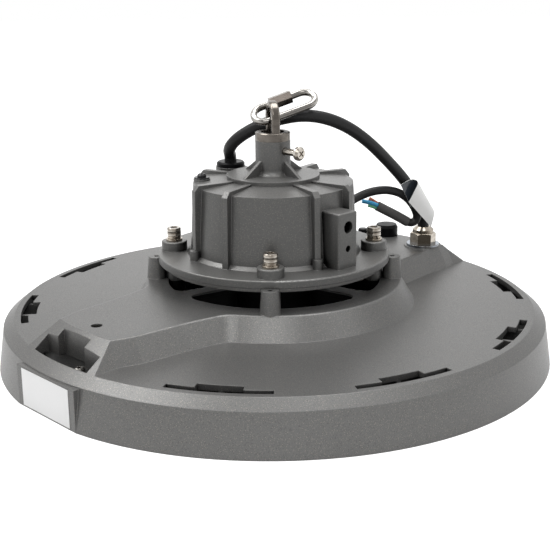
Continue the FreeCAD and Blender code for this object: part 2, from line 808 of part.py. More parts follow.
rear_gland_turn = 90 + sheet.front_turn - 45
rear_gland_height = flange_top + sheet.rear_gland_rise
rib_crown = can_shoulder + sheet.can_cone + sheet.rib_lift
top_gland_seat = rib_crown + 0.4
top_screw_seat = can_shoulder + sheet.can_cone


def top_gland_place():
    return polar(sheet.can_radius - sheet.top_gland_inset, sheet.top_gland_angle)


def make_driver_housing():
    body = driver_can().fuse(can_ribs() + [can_block()] + neck_gussets())
    bosses = []
    for turn in quarter_turns:
        boss = disc(sheet.boss_radius, flange_top - 2, flange_top + sheet.boss_height,
                    polar(sheet.bolt_pitch, turn))
        bosses.append(boss.makeFillet(sheet.flange_round,
                                      edges_at(boss, flange_top + sheet.boss_height)))
    top_place = top_gland_place()
    bosses.append(disc(sheet.top_gland_radius + 0.6, can_shoulder - 4, top_gland_seat, top_place))
    screw_pad = sheet.top_screw_washer + 0.5
    bosses.append(disc(screw_pad, can_shoulder - 4, top_screw_seat,
                       polar(sheet.top_screw_pitch, 180 + sheet.front_turn)))
    wall = sheet.can_radius - sheet.can_wall - sheet.can_draft
    bosses.append(Part.makeCylinder(sheet.rear_gland_flats / 2 + 2, sheet.rear_gland_start - wall,
                                    polar(wall, rear_gland_turn, rear_gland_height),
                                    polar(1, rear_gland_turn)))
    body = body.fuse(bosses)
    cutters = [disc(wall, sheet.flange_bottom - 1, can_shoulder - sheet.can_wall)]
    for turn in quarter_turns:
        cutters.append(disc(sheet.m6_hole_radius, sheet.flange_bottom - 1, neck_top,
                            polar(sheet.bolt_pitch, turn)))
    cutters += [disc(sheet.cover_screw_radius + sheet.thread_gap, sheet.flange_bottom - 1,
                     sheet.flange_bottom + 4, polar(sheet.bolt_pitch, turn)) for turn in web_turns]
    cutters.append(disc(sheet.top_screw_radius + sheet.thread_gap,
                        top_screw_seat - sheet.top_screw_length - 1, top_screw_seat + 1,
                        polar(sheet.top_screw_pitch, 180 + sheet.front_turn)))
    cutters.append(disc(sheet.stud_radius + sheet.thread_gap, neck_top - sheet.stud_length - 1,
                        neck_top + 1))
    cutters.append(Part.makeCylinder(sheet.set_screw_radius + sheet.thread_gap, 20,
                                     Vector(0, 0, plateau_level + sheet.set_screw_rise),
                                     polar(1, sheet.block_angle)))
    cutters.append(disc(sheet.lamp_cable_radius + sheet.cable_gap, can_shoulder - 12,
                        top_gland_seat + 1, top_place))
    cutters.append(Part.makeCylinder(sheet.mains_lead_radius + sheet.cable_gap,
                                     sheet.rear_gland_start + 2 - wall,
                                     polar(wall - 1, rear_gland_turn, rear_gland_height),
                                     polar(1, rear_gland_turn)))
    keep("driver_housing", body.cut(cutters))


# Light source and lens, under the lamp body.

def make_chamber():
    turned_plate = turned_body("led_plate", [
        ("0", "ledge_height - plate_thickness"),
        ("chamber_radius - seat_gap", "ledge_height - plate_thickness"),
        ("chamber_radius - seat_gap", "ledge_height"),
        ("0", "ledge_height")])
    drill_circle(turned_plate, "plate_screw_pitch", "bezel_screw_radius + thread_gap",
                 "plate_screw_count")
    board_top = "ledge_height - plate_thickness"
    board = turned_body("led_board", [
        ("0", board_top + " - board_thickness"),
        ("board_radius", board_top + " - board_thickness"),
        ("board_radius", board_top),
        ("0", board_top)])
    gasket = turned_body("lens_gasket", [
        ("chamber_radius + seat_gap", "chamber_rim + rebate_depth - gasket_thickness"),
        ("rebate_radius - seat_gap", "chamber_rim + rebate_depth - gasket_thickness"),
        ("rebate_radius - seat_gap", "chamber_rim + rebate_depth"),
        ("chamber_radius + seat_gap", "chamber_rim + rebate_depth")])
    lens_top = "chamber_rim + rebate_depth - gasket_thickness"
    lens = turned_body("lens_plate", [
        ("0", lens_top + " - lens_thickness"),
        ("rebate_radius - seat_gap", lens_top + " - lens_thickness"),
        ("rebate_radius - seat_gap", lens_top),
        ("0", lens_top)])
    bezel = turned_body("bezel_ring", [
        ("bezel_inner_radius", "chamber_rim - bezel_thickness"),
        ("chamber_outer_radius", "chamber_rim - bezel_thickness"),
        ("chamber_outer_radius", "chamber_rim"),
        ("bezel_inner_radius", "chamber_rim")])
    drill_circle(bezel, "bezel_screw_pitch", "bezel_screw_radius + thread_gap",
                 "bezel_screw_count")
    pieces.extend([turned_plate, board, gasket, lens, bezel])
    bezel.Placement = Placement(ORIGIN, Rotation(UP, 15))
    chip_top = sheet.ledge_height - sheet.plate_thickness - sheet.board_thickness
    chips = []
    rings = int((sheet.board_radius - sheet.chip_length) / sheet.chip_ring_pitch)
    for ring in range(1, rings + 1):
        pitch = ring * sheet.chip_ring_pitch
        count = 8 * ring
        for step in range(count):
            chip = Part.makeBox(sheet.chip_length, sheet.chip_width, sheet.chip_thickness,
                                Vector(pitch - sheet.chip_length / 2, -sheet.chip_width / 2,
                                       chip_top - sheet.chip_thickness))
            chip.rotate(ORIGIN, UP, 360 * step / count)
            chips.append(chip)
    keep("led_chips", Part.makeCompound(chips))


def pan_screw(head_radius, head_height, shank_radius, length, recess=True):
    """Pan-head screw at the origin: shank up +Z, head below, with a cross recess."""
    screw = turned([(0, length), (shank_radius, length), (shank_radius, 0), (head_radius, 0),
                    (head_radius, -head_height * sheet.pan_edge),
                    (head_radius * sheet.pan_crown, -head_height),
                    (0, -head_height)])
    if recess:
        for turn in (0, 90):
            slot = Part.makeBox(sheet.cross_length * head_radius / sheet.set_screw_head,
                                sheet.cross_width, sheet.cross_depth + 0.01)
            slot.translate(Vector(-slot.BoundBox.XLength / 2, -sheet.cross_width / 2,
                                  -head_height - 0.01))
            slot.rotate(ORIGIN, UP, turn)
            screw = screw.cut(slot)
    return screw


def group(label, form, places):
    """Several separate copies of one form as one node."""
    copies = []
    for place in places:
        copy = form.copy()
        copy.Placement = place
        copies.append(copy)
    keep(label, Part.makeCompound(copies) if len(copies) > 1 else copies[0])


def make_small_screws():
    bezel_screw = pan_screw(sheet.bezel_screw_head, sheet.bezel_head_height,
                            sheet.bezel_screw_radius, sheet.bezel_screw_length)
    seat = sheet.chamber_rim - sheet.bezel_thickness
    count = int(sheet.bezel_screw_count)
    group("bezel_screws", bezel_screw,
          [Placement(polar(sheet.bezel_screw_pitch, 15 + 360 * step / count, seat), Rotation())
           for step in range(count)])
    plate_seat = sheet.ledge_height - sheet.plate_thickness
    plate_screw = pan_screw(sheet.bezel_screw_head - 0.2, sheet.bezel_head_height,
                            sheet.bezel_screw_radius, sheet.plate_thickness + 2.5)
    count = int(sheet.plate_screw_count)
    group("led_plate_screws", plate_screw,
          [Placement(polar(sheet.plate_screw_pitch, 360 * step / count, plate_seat), Rotation())
           for step in range(count)])
    cover_screw = pan_screw(sheet.cover_screw_head, sheet.cover_screw_head_height,
                            sheet.cover_screw_radius, sheet.cover_screw_length)
    cover_seat = sheet.flange_bottom - sheet.cover_gasket - sheet.cover_thickness
    group("cover_screws", cover_screw,
          [Placement(polar(sheet.bolt_pitch, turn, cover_seat), Rotation()) for turn in web_turns])
    down = Rotation(Vector(1, 0, 0), 180)
    top_screw = pan_screw(sheet.top_screw_head, sheet.top_screw_head_height,
                          sheet.top_screw_radius, sheet.top_screw_length)
    seat = top_screw_seat
    washer = disc(sheet.top_screw_washer, 0, 1.0)
    washer = washer.cut(disc(sheet.top_screw_radius + sheet.thread_gap, -1, 2))
    place = polar(sheet.top_screw_pitch, 180 + sheet.front_turn)
    group("top_screw_washer", washer, [Placement(place + Vector(0, 0, seat), Rotation())])
    group("top_screw", top_screw, [Placement(place + Vector(0, 0, seat + 1.0), down)])
    floor = ridge_level(sheet.ridge_screw_pitch) - sheet.ridge_hole_depth
    height = sheet.ridge_screw_height
    socket = hexagon(sheet.ridge_screw_flats, height / 2, height + 1)
    ridge_screw = disc(sheet.ridge_screw_head, 0, height).cut(socket)
    group("ridge_screw", ridge_screw,
          [Placement(polar(sheet.ridge_screw_pitch, sheet.left_ridge_angle, floor), Rotation())])
    lug_screw = pan_screw(sheet.lug_screw_head, sheet.lug_screw_height,
                          sheet.lug_screw_radius, sheet.lug_screw_length)
    group("lug_screw", lug_screw, [Placement(lug_seat(), down)])
    outward = polar(1, sheet.block_angle)
    seat = polar(sheet.stud_radius + 0.1, sheet.block_angle, plateau_level + sheet.set_screw_rise)
    length = sheet.set_screw_reach - sheet.stud_radius
    set_screw = pan_screw(sheet.set_screw_head, sheet.set_screw_head_height,
                          sheet.set_screw_radius, length)
    inward = Rotation(UP, outward * -1)
    group("set_screw", set_screw, [Placement(seat + outward * length, inward)])


def make_flange_screws():
    boss_top = flange_top + sheet.boss_height
    flat = disc(sheet.flat_washer_radius, 0, sheet.flat_washer_thickness)
    flat = flat.cut(disc(sheet.m6_hole_radius - 0.1, -1, 3))
    spring = disc(sheet.spring_washer_radius, 0, sheet.spring_washer_thickness)
    spring = spring.cut(disc(sheet.m6_hole_radius - 0.1, -1, 4))
    split = Part.makeBox(8, sheet.spring_washer_split, 6, Vector(0, -0.5, -1))
    split.rotate(ORIGIN, Vector(1, 0, 0), 20)
    spring = spring.cut(split)
    length = (sheet.flat_washer_thickness + sheet.spring_washer_thickness + sheet.boss_height
              + sheet.flange_thickness + sheet.m6_thread_depth - 2)
    head = disc(sheet.m6_head_radius, 0, sheet.m6_head_height)
    head = head.makeChamfer(0.5, edges_at(head, sheet.m6_head_height))
    socket = hexagon(sheet.m6_socket_flats, sheet.m6_head_height - sheet.m6_socket_depth,
                     sheet.m6_head_height + 1)
    screw = head.cut(socket).fuse(disc(sheet.m6_radius, -length, 0)).removeSplitter()
    washer_top = boss_top + sheet.flat_washer_thickness
    spring_top = washer_top + sheet.spring_washer_thickness
    for label, form, height in (("flat_washers", flat, boss_top),
                                ("spring_washers", spring, washer_top),
                                ("flange_screws", screw, spring_top)):
        group(label, form, [Placement(polar(sheet.bolt_pitch, turn, height), Rotation(UP, turn - 60))
                            for turn in quarter_turns])


def make_driver_inside():
    top = sheet.flange_bottom
    gasket = disc(sheet.cover_radius, top - sheet.cover_gasket, top)
    inside = sheet.can_radius - sheet.can_draft - sheet.can_wall
    gasket = gasket.cut(disc(inside, top - 5, top + 1))
    cover_top = top - sheet.cover_gasket
    cover = disc(sheet.cover_radius, cover_top - sheet.cover_thickness, cover_top)
    notches = [disc(sheet.column_radius + 0.8, 0, 200, polar(sheet.bolt_pitch, turn))
               for turn in quarter_turns]
    notches += [disc(sheet.peg_top_radius + 1.6, 0, 200, polar(sheet.peg_pitch, turn))
                for turn in quarter_turns]
    screw_holes = [disc(sheet.cover_screw_radius + sheet.thread_gap, 0, 200,
                        polar(sheet.bolt_pitch, turn)) for turn in web_turns]
    keep("cover_gasket", gasket.cut(notches + screw_holes))
    keep("driver_base_cover", cover.cut(notches + screw_holes))
    module = doc.addObject("Part::Box", "driver_module")
    module.Label = "driver_module"
    module.setExpression("Length", cells("module_length"))
    module.setExpression("Width", cells("module_width"))
    module.setExpression("Height", cells("module_height"))
    module.setExpression("Placement.Base.x", cells("-module_length / 2"))
    module.setExpression("Placement.Base.y", cells("-module_width / 2"))
    module.setExpression("Placement.Base.z", cells("flange_bottom - cover_gasket"))
    pieces.append(module)


# Hanging eye and quick link.

def make_hook_eye():
    ring = disc(sheet.collar_radius, neck_top, neck_top + sheet.collar_height)
    ring = ring.makeChamfer(0.6, edges_at(ring, neck_top + sheet.collar_height))
    ring = ring.cut(disc(sheet.collar_bore, neck_top + 2.5, neck_top + 20))
    stud = disc(sheet.stud_radius, neck_top - sheet.stud_length, neck_top + 1)
    centre = neck_top + sheet.bail_height - sheet.bail_bar / 2 - sheet.bail_half_span
    outer = sheet.bail_half_span + sheet.bail_bar / 2
    inner = sheet.bail_half_span - sheet.bail_bar / 2

    def arch(half_width, bottom):
        """Upright outline with a round top, as a plate as wide as the bar."""
        block = Part.makeBox(sheet.bail_width, 2 * half_width, centre - bottom,
                             Vector(-sheet.bail_width / 2, -half_width, bottom))
        crown = Part.makeCylinder(half_width, sheet.bail_width,
                                  Vector(-sheet.bail_width / 2, 0, centre), Vector(1, 0, 0))
        return block.fuse(crown).removeSplitter()

    bail = arch(outer, neck_top + 2.5).cut(arch(inner, neck_top))
    long_edges = [edge for edge in bail.Edges
                  if abs(abs(edge.CenterOfMass.x) - sheet.bail_width / 2) < 0.001
                  and edge.CenterOfMass.z > neck_top + 3]
    bail = bail.makeFillet(sheet.bail_round, long_edges)
    bail.rotate(ORIGIN, UP, sheet.bail_turn)
    keep("hook_eye", ring.fuse([bail, stud]))


LINK_ALONG = Vector(0.9195, 0.2578, 0.2968)
LINK_ACROSS = Vector(-0.3751, 0.8015, 0.4657)


def link_frame():
    """Origin at the link's left tip, x along it, y towards the side with the nut."""
    along = Vector(LINK_ALONG).normalize()
    normal = along.cross(LINK_ACROSS).normalize()
    across = normal.cross(along)
    turn = Rotation(along, across, normal, "XYZ")
    start = Vector(sheet.link_x, sheet.link_y, neck_top + sheet.link_rise)
    return Placement(start, turn)


def make_link():
    half = sheet.link_half_width
    length = sheet.link_length
    gap_start = sheet.nut_start + sheet.link_thread
    gap_end = gap_start + sheet.link_gap
    path = Part.Wire([
        Part.LineSegment(Vector(gap_start, half, 0), Vector(half, half, 0)).toShape(),
        Part.Arc(Vector(half, half, 0), Vector(0, 0, 0), Vector(half, -half, 0)).toShape(),
        Part.LineSegment(Vector(half, -half, 0), Vector(length - half, -half, 0)).toShape(),
        Part.Arc(Vector(length - half, -half, 0), Vector(length, 0, 0),
                 Vector(length - half, half, 0)).toShape(),
        Part.LineSegment(Vector(length - half, half, 0), Vector(gap_end, half, 0)).toShape(),
    ])
    section = Part.Wire(Part.makeCircle(sheet.link_bar_radius, Vector(gap_start, half, 0),
                                        Vector(1, 0, 0)))
    bar = path.makePipeShell([section], True, False)
    bar.Placement = link_frame()
    keep("link_body", bar)
    nut = hexagon(sheet.nut_flats, 0, sheet.nut_length)
    nut = nut.cut(disc(sheet.link_bar_radius + sheet.nut_clearance, -1, sheet.nut_length + 1))
    nut.rotate(ORIGIN, Vector(0, 1, 0), 90)
    nut.translate(Vector(sheet.nut_start, half, 0))
    nut.Placement = link_frame().multiply(nut.Placement)
    keep("link_nut", nut)


# Glands, plugs and label.

def make_top_gland():
    seat = top_gland_seat
    height = sheet.top_gland_height
    radius = sheet.top_gland_radius
    place = top_gland_place()
    gland = disc(radius, seat, seat + height, place)
    gland = gland.makeChamfer(1.2, edges_at(gland, seat + height))
    keep("top_gland", gland.cut(disc(sheet.lamp_cable_radius + sheet.cable_gap, seat - 1,
                                     seat + height + 1, place)))


def make_rear_gland():
    """Gland on the back of the can: a hexagon on its seat and a round cap nut."""
    start = sheet.rear_gland_start
    middle = (start + sheet.rear_gland_reach) / 2 - 1
    body = hexagon(sheet.rear_gland_flats, start, middle)
    radius = sheet.rear_gland_cap_radius
    cap = turned([(0, middle), (radius, middle), (radius, sheet.rear_gland_reach - 2.5),
                  (radius - 1.4, sheet.rear_gland_reach), (0, sheet.rear_gland_reach)])
    gland = body.fuse(cap).cut(disc(sheet.mains_lead_radius + sheet.cable_gap, 0, 200))
    gland.Placement = Placement(Vector(0, 0, rear_gland_height),
                                Rotation(UP, polar(1, rear_gland_turn)))
    keep("rear_gland", gland)


def make_lamp_gland(pad_top):
    place = lamp_gland_place()
    bore = sheet.lamp_cable_radius + sheet.cable_gap
    washer_top = pad_top + sheet.lamp_gland_washer_thickness
    body_top = washer_top + sheet.lamp_gland_height
    cap_top = body_top + sheet.lamp_gland_cap_height
    washer = disc(sheet.lamp_gland_washer_radius, pad_top, washer_top, place)
    keep("lamp_gland_washer", washer.cut(disc(bore, 0, 200, place)))
    body = hexagon(sheet.lamp_gland_flats, washer_top, body_top, place)
    corner = sheet.lamp_gland_flats / 2 / cos(pi / 6)
    body = body.common(turned([(0, washer_top), (corner, washer_top), (corner, body_top - 1),
                               (corner - 1.6, body_top), (0, body_top)]).translated(place))
    keep("lamp_gland_body", body.cut(disc(bore, 0, 200, place)))
    cap = turned([(0, body_top), (sheet.lamp_gland_cap_radius, body_top),
                  (sheet.lamp_gland_cap_radius, body_top + 2.5),
                  (sheet.lamp_cable_radius + 1.4, cap_top), (0, cap_top)]).translated(place)
    keep("lamp_gland_cap", cap.cut(disc(bore, 0, 200, place)))
    return cap_top


def make_plugs():
    for label, setback, turn, radius, height in (
            ("vent_plug", sheet.vent_setback, sheet.vent_angle, sheet.vent_radius,
             sheet.vent_height),
            ("small_plug", sheet.small_plug_setback, sheet.small_plug_angle,
             sheet.small_plug_radius, sheet.small_plug_height)):
        pitch = sheet.skirt_radius - setback
        seat = ridge_level(pitch - radius) + 0.02
        plug = turned([(0, seat), (radius, seat), (radius, seat + height * 0.75),
                       (radius * 0.86, seat + height), (0, seat + height)])
        keep(label, plug.translated(polar(pitch, turn)))


def make_label():
    label = bar_along(sheet.label_angle, sheet.label_flat, sheet.label_flat + sheet.label_thickness,
                      sheet.label_width, sheet.label_lift, sheet.label_lift + sheet.label_height)
    keep("blank_label", label)


# Cables.

def cord(label, points, radius):
    """Tube of straight runs joined by tangent arcs, each as large as its runs allow."""
    edges = []
    here = points[0]
    radii = []
    for before, corner, after in zip(points, points[1:], points[2:]):
        into = Vector(corner - before)
        out = Vector(after - corner)
        shorter = min(into.Length, out.Length)
        turn = into.getAngle(out)
        trim = 0.45 * shorter
        bend = trim / tan(turn / 2)
        radii.append(round(bend, 1))
        into.normalize()
        out.normalize()
        start = corner - into * trim
        end = corner + out * trim
        centre = corner + Vector(out - into).normalize() * hypot(trim, bend)
        middle = centre + (corner - centre).normalize() * bend
        edges.append(Part.LineSegment(here, start).toShape())
        edges.append(Part.Arc(start, middle, end).toShape())
        here = end
    edges.append(Part.LineSegment(here, points[-1]).toShape())
    path = Part.Wire(edges)
    section = Part.Wire(Part.makeCircle(radius, points[0], points[1] - points[0]))
    tube = path.makePipeShell([section], True, False)
    expected = pi * radius ** 2 * path.Length
    print(label, "radii", radii, "length", round(path.Length, 1),
          "volume ratio", round(tube.Volume / expected, 4))
    if abs(tube.Volume / expected - 1) > 0.01:
        raise RuntimeError(label + " has a bad volume")
    keep(label, tube)


def make_cables(cap_top):
    top = top_gland_place() + Vector(0, 0, top_gland_seat + sheet.top_gland_height)
    end = lamp_gland_place() + Vector(0, 0, cap_top)
    cord("lamp_cable", [
        top - Vector(0, 0, 1.5),
        top + Vector(0, 0, 4.0),
        Vector(-32.9, 36.6, 140.5),
        Vector(-29.5, 30.5, 147.0),
        Vector(-22.0, 27.0, 153.5),
        Vector(-10.5, 23.5, 160.2),
        Vector(4.5, 18.0, 166.0),
        Vector(21.5, 14.5, 169.3),
        Vector(39.0, 18.0, 166.5),
        Vector(56.5, 29.0, 157.5),
        Vector(73.0, 43.0, 143.5),
        Vector(88.0, 57.5, 127.0),
        Vector(102.0, 70.5, 110.5),
        Vector(113.5, 82.0, 92.5),
        Vector(120.0, 89.0, 78.0),
        end,
    ], sheet.lamp_cable_radius)
    cord("mains_lead", [
        polar(sheet.rear_gland_reach, rear_gland_turn, rear_gland_height),
        Vector(64.5, 59.5, 98.6),
        Vector(76.0, 60.5, 103.2),
        Vector(89.5, 64.5, 103.6),
        Vector(101.8, 70.2, 98.5),
        Vector(110.4, 75.0, 89.0),
        Vector(115.0, 77.2, 77.5),
        Vector(109.0, 76.4, 72.8),
        Vector(98.0, 75.0, 80.0),
        Vector(81.7, 73.0, 88.7),
    ], sheet.mains_lead_radius)
    sheath_end = Vector(81.7, 73.0, 88.7)
    back = (Vector(81.7, 73.0, 88.7) - Vector(98.0, 75.0, 80.0)).normalize()
    side = UP.cross(back).normalize()
    rise = back.cross(side)
    for label, across, lift, tip in (
            ("blue_core", 1.35, 0.8, Vector(68.5, 70.0, 93.0)),
            ("brown_core", -1.35, 0.8, Vector(74.5, 76.0, 95.5)),
            ("earth_core", 0.0, -1.55, Vector(74.0, 72.0, 88.6))):
        start = sheath_end + side * across + rise * lift
        bend = start + back * (0.5 * (tip - start).Length)
        cord(label, [start, bend, tip], sheet.core_radius)


TAG_OUTLINE = [(96.6, 61.7, 113.5), (106.0, 61.2, 119.0), (110.4, 61.7, 117.0),
               (112.6, 61.7, 112.5), (124.5, 67.7, 87.5), (120.5, 69.7, 73.0),
               (102.2, 65.7, 97.5)]


def make_tag():
    """Blank tag folded round the lamp cable: two plain leaves, one each side of the cable."""
    first, second, third = (Vector(*TAG_OUTLINE[index]) for index in (0, 2, 5))
    normal = (second - first).cross(third - first).normalize()
    if normal.y > 0:
        normal = normal * -1
    flat = []
    for point in TAG_OUTLINE:
        corner = Vector(*point)
        flat.append(corner - normal * (corner - first).dot(normal))
    leaf = Part.Face(Part.makePolygon(flat + flat[:1])).extrude(normal * sheet.tag_thickness)
    keep("cable_tag", leaf)


print("building lamp body")
pad_top = make_lamp_housing()
print("building driver housing")
make_driver_housing()
make_chamber()
make_small_screws()
make_flange_screws()
make_driver_inside()
make_hook_eye()
make_link()
make_top_gland()
make_rear_gland()
cap_top = make_lamp_gland(pad_top)
make_plugs()
make_label()
make_cables(cap_top)
make_tag()
doc.recompute()

for item in doc.Objects:
    if "Invalid" in item.State or "Error" in item.State:
        raise RuntimeError("failed: " + item.Label)
for piece in pieces:
    if piece.Shape.isNull() or not piece.Shape.isValid():
        raise RuntimeError("bad shape: " + piece.Label)
for piece in pieces:
    piece.Shape.exportStep(f"parts/{piece.Label}.step")
    print(piece.Label, len(piece.Shape.Solids), "solids", round(piece.Shape.Volume, 1))
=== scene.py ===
import bpy
import bmesh
import math
from mathutils import Matrix, Vector


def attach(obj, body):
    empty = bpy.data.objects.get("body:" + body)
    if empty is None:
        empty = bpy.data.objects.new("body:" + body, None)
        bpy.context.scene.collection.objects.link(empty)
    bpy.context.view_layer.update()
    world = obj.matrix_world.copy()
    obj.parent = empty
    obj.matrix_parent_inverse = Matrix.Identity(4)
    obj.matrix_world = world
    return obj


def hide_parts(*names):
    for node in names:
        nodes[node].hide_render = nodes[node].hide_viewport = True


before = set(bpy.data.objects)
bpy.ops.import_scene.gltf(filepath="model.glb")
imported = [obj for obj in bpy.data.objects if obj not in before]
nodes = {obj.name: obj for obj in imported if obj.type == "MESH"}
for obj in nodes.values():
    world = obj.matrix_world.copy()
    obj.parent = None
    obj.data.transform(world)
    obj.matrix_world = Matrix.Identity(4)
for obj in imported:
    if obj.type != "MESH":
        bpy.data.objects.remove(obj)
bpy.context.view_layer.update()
scene = bpy.context.scene
print("frame loaded")

# camera, placed where the photograph was taken from
cameraValues = {
    "lens": 73.94,
    "sensorWidth": 36.0,
    "place": (0.0, -0.79617, 0.28489),
    "pitchDown": 16.17,
    "roll": -0.558,
    "shiftX": 0.00165,
    "clipStart": 0.05,
    "clipEnd": 200.0,
}


def makeCamera(values):
    bpy.ops.object.camera_add(location=values["place"])
    camera = bpy.context.object
    camera.data.lens = values["lens"]
    camera.data.sensor_width = values["sensorWidth"]
    camera.data.shift_x = values["shiftX"]
    camera.data.clip_start = values["clipStart"]
    camera.data.clip_end = values["clipEnd"]
    camera.rotation_mode = "QUATERNION"
    level = Matrix.Rotation(math.radians(90 - values["pitchDown"]), 4, "X")
    tilt = Matrix.Rotation(math.radians(values["roll"]), 4, "Z")
    camera.rotation_quaternion = (level @ tilt).to_quaternion()
    scene.camera = camera


makeCamera(cameraValues)


# shader maths: sockets that add, multiply and compare like numbers
class Wire:
    def __init__(self, graph, socket):
        self.graph = graph
        self.socket = socket

    def calc(self, operation, first, second):
        return self.graph.node("ShaderNodeMath", {"operation": operation}, {0: first, 1: second})

    def __add__(self, other):
        return self.calc("ADD", self, other)

    def __radd__(self, other):
        return self.calc("ADD", other, self)

    def __mul__(self, other):
        return self.calc("MULTIPLY", self, other)

    def __rmul__(self, other):
        return self.calc("MULTIPLY", other, self)

    def __lt__(self, other):
        return self.calc("LESS_THAN", self, other)

    def __gt__(self, other):
        return self.calc("GREATER_THAN", self, other)


class Graph:
    def __init__(self, tree, outputKind):
        self.tree = tree
        self.tree.nodes.clear()
        self.output = self.tree.nodes.new(outputKind)

    def node(self, kind, settings=None, values=None, out=0):
        made = self.tree.nodes.new(kind)
        for key, value in (settings or {}).items():
            if key == "stops":
                ramp = made.color_ramp
                while len(ramp.elements) < len(value):
                    ramp.elements.new(0.5)
                for element, (place, tone) in zip(ramp.elements, value):
                    element.position = place
                    element.color = grey(tone)
            else:
                setattr(made, key, value)
        for key, value in (values or {}).items():
            if isinstance(value, Wire):
                self.tree.links.new(value.socket, made.inputs[key])
            else:
                made.inputs[key].default_value = value
        return Wire(self, made.outputs[out])

    def show(self, shader):
        self.tree.links.new(shader.socket, self.output.inputs["Surface"])


class Finish(Graph):
    def __init__(self, name):
        self.material = bpy.data.materials.new(name)
        self.material.use_nodes = True
        super().__init__(self.material.node_tree, "ShaderNodeOutputMaterial")

    def place(self, stretch=None):
        where = self.node("ShaderNodeTexCoord", out="Object")
        if stretch:
            where = self.node("ShaderNodeMapping", values={"Vector": where, "Scale": stretch})
        return where

    def axes(self):
        parted = self.node("ShaderNodeSeparateXYZ", values={"Vector": self.place()})
        return [Wire(self, socket) for socket in parted.socket.node.outputs]

    def facing(self, direction, stops):
        normal = self.node("ShaderNodeTexCoord", out="Normal")
        share = self.node("ShaderNodeVectorMath", {"operation": "DOT_PRODUCT"},
                          {0: normal, 1: direction}, "Value")
        return self.ramp(share, stops)

    def noise(self, scale, detail=2.0, roughness=0.5, stretch=None):
        values = {"Vector": self.place(stretch), "Scale": scale, "Detail": detail,
                  "Roughness": roughness}
        return self.node("ShaderNodeTexNoise", values=values)

    def cells(self, scale):
        return self.node("ShaderNodeTexVoronoi", values={"Vector": self.place(), "Scale": scale})

    def bands(self, scale):
        return self.node("ShaderNodeTexWave", {"bands_direction": "Z"},
                         {"Vector": self.place(), "Scale": scale})

    def ramp(self, factor, stops):
        return self.node("ShaderNodeValToRGB", {"stops": stops}, {"Fac": factor})

    def blend(self, factor, first, second):
        return self.node("ShaderNodeMix", {"data_type": "RGBA"},
                         {0: factor, 6: first, 7: second}, out=2)

    def edge(self, radius, samples=6):
        return self.node("ShaderNodeBevel", {"samples": samples}, {"Radius": radius})

    def bump(self, height, strength, distance, normal):
        return self.node("ShaderNodeBump", values={"Height": height, "Strength": strength,
                                                   "Distance": distance, "Normal": normal})

    def shine(self, values):
        self.show(self.node("ShaderNodeBsdfPrincipled", values=values))
        return self.material


def grey(tone):
    return (tone, tone, tone, 1.0)


# powder coat of the castings; the driver housing's has painted light: darker on its sides and paler
# on top, where the top light falls
powderCoat = {
    "color": (0.124, 0.123, 0.120, 1.0),
    "paintedTopLightColor": (0.124, 0.123, 0.120, 1.0),
    "paintedTopLightStops": [(0.4, 0.0), (0.9, 1.0)],
    "grainScale": 1500.0,
    "darkGrain": grey(0.070),
    "darkStops": [(0.30, 1.0), (0.47, 0.0)],
    "darkShare": 0.75,
    "speckScale": 950.0,
    "lightGrain": (0.33, 0.30, 0.25, 1.0),
    "lightStops": [(0.10, 1.0), (0.30, 0.0)],
    "lightShare": 0.5,
    "cloudScale": 8.0,
    "cloudTone": 0.2,
    "cloudStops": [(0.40, 0.0), (0.65, 1.0)],
    "cloudShare": 0.10,
    "peelScale": 600.0,
    "grainHeight": 0.5,
    "peelHeight": 0.6,
    "bumpStrength": 0.6,
    "bumpDepth": 0.00005,
    "edgeRadius": 0.0008,
    "roughStops": [(0.3, 0.47), (0.7, 0.35)],
    "metallic": 0.65,
    # painted shade in recesses and in the chamber under the dome
    "paintedShadeReach": 0.022,
    "paintedShadeStops": [(0.25, 0.0), (0.45, 1.0)],
    "paintedShadeTone": 0.002,
    "shadedChamberRadius": 0.0915,
    "shadedChamberTop": 0.0515,
}
driverCoat = {
    **powderCoat,
    "color": (0.092, 0.0915, 0.089, 1.0),
    "paintedTopLightColor": (0.175, 0.173, 0.168, 1.0),
    "lightGrain": (0.25, 0.23, 0.195, 1.0),
}


def makePowderCoat(name, values):
    finish = Finish(name)
    # painted light: faces turned up blend towards a paler colour, the sides keep the darker one
    color = finish.blend(finish.facing((0.0, 0.0, 1.0), values["paintedTopLightStops"]), values["color"],
                         values["paintedTopLightColor"])
    grain = finish.noise(values["grainScale"], 2.0, 0.6)
    peel = finish.noise(values["peelScale"])
    cloud = finish.ramp(finish.noise(values["cloudScale"], 3.0), values["cloudStops"])
    dark = finish.ramp(grain, values["darkStops"])
    light = finish.ramp(finish.cells(values["speckScale"]), values["lightStops"])
    color = finish.blend(dark * values["darkShare"], color, values["darkGrain"])
    color = finish.blend(light * values["lightShare"], color, values["lightGrain"])
    color = finish.blend(cloud * values["cloudShare"], color, grey(values["cloudTone"]))
    # painted shade: the slots, recesses and the chamber under the dome are painted near-black
    # inside, where shade falls
    paintedShadeOcclusion = finish.node("ShaderNodeAmbientOcclusion", {"samples": 8, "only_local": True},
                         {"Distance": values["paintedShadeReach"]}, "AO")
    unshadedShare = finish.ramp(paintedShadeOcclusion, values["paintedShadeStops"])
    color = finish.blend(unshadedShare, grey(values["paintedShadeTone"]), color)
    # painted shade: everything inside the chamber under the dome is painted near-black
    x, y, z = finish.axes()
    within = x * x + y * y < values["shadedChamberRadius"] ** 2
    below = z < values["shadedChamberTop"]
    color = finish.blend(within * below, color, grey(values["paintedShadeTone"]))
    height = grain * values["grainHeight"] + peel * values["peelHeight"]
    bump = finish.bump(height, values["bumpStrength"], values["bumpDepth"],
                       finish.edge(values["edgeRadius"]))
    return finish.shine({"Base Color": color, "Roughness": finish.ramp(grain, values["roughStops"]),
                         "Normal": bump, "Metallic": values["metallic"]})
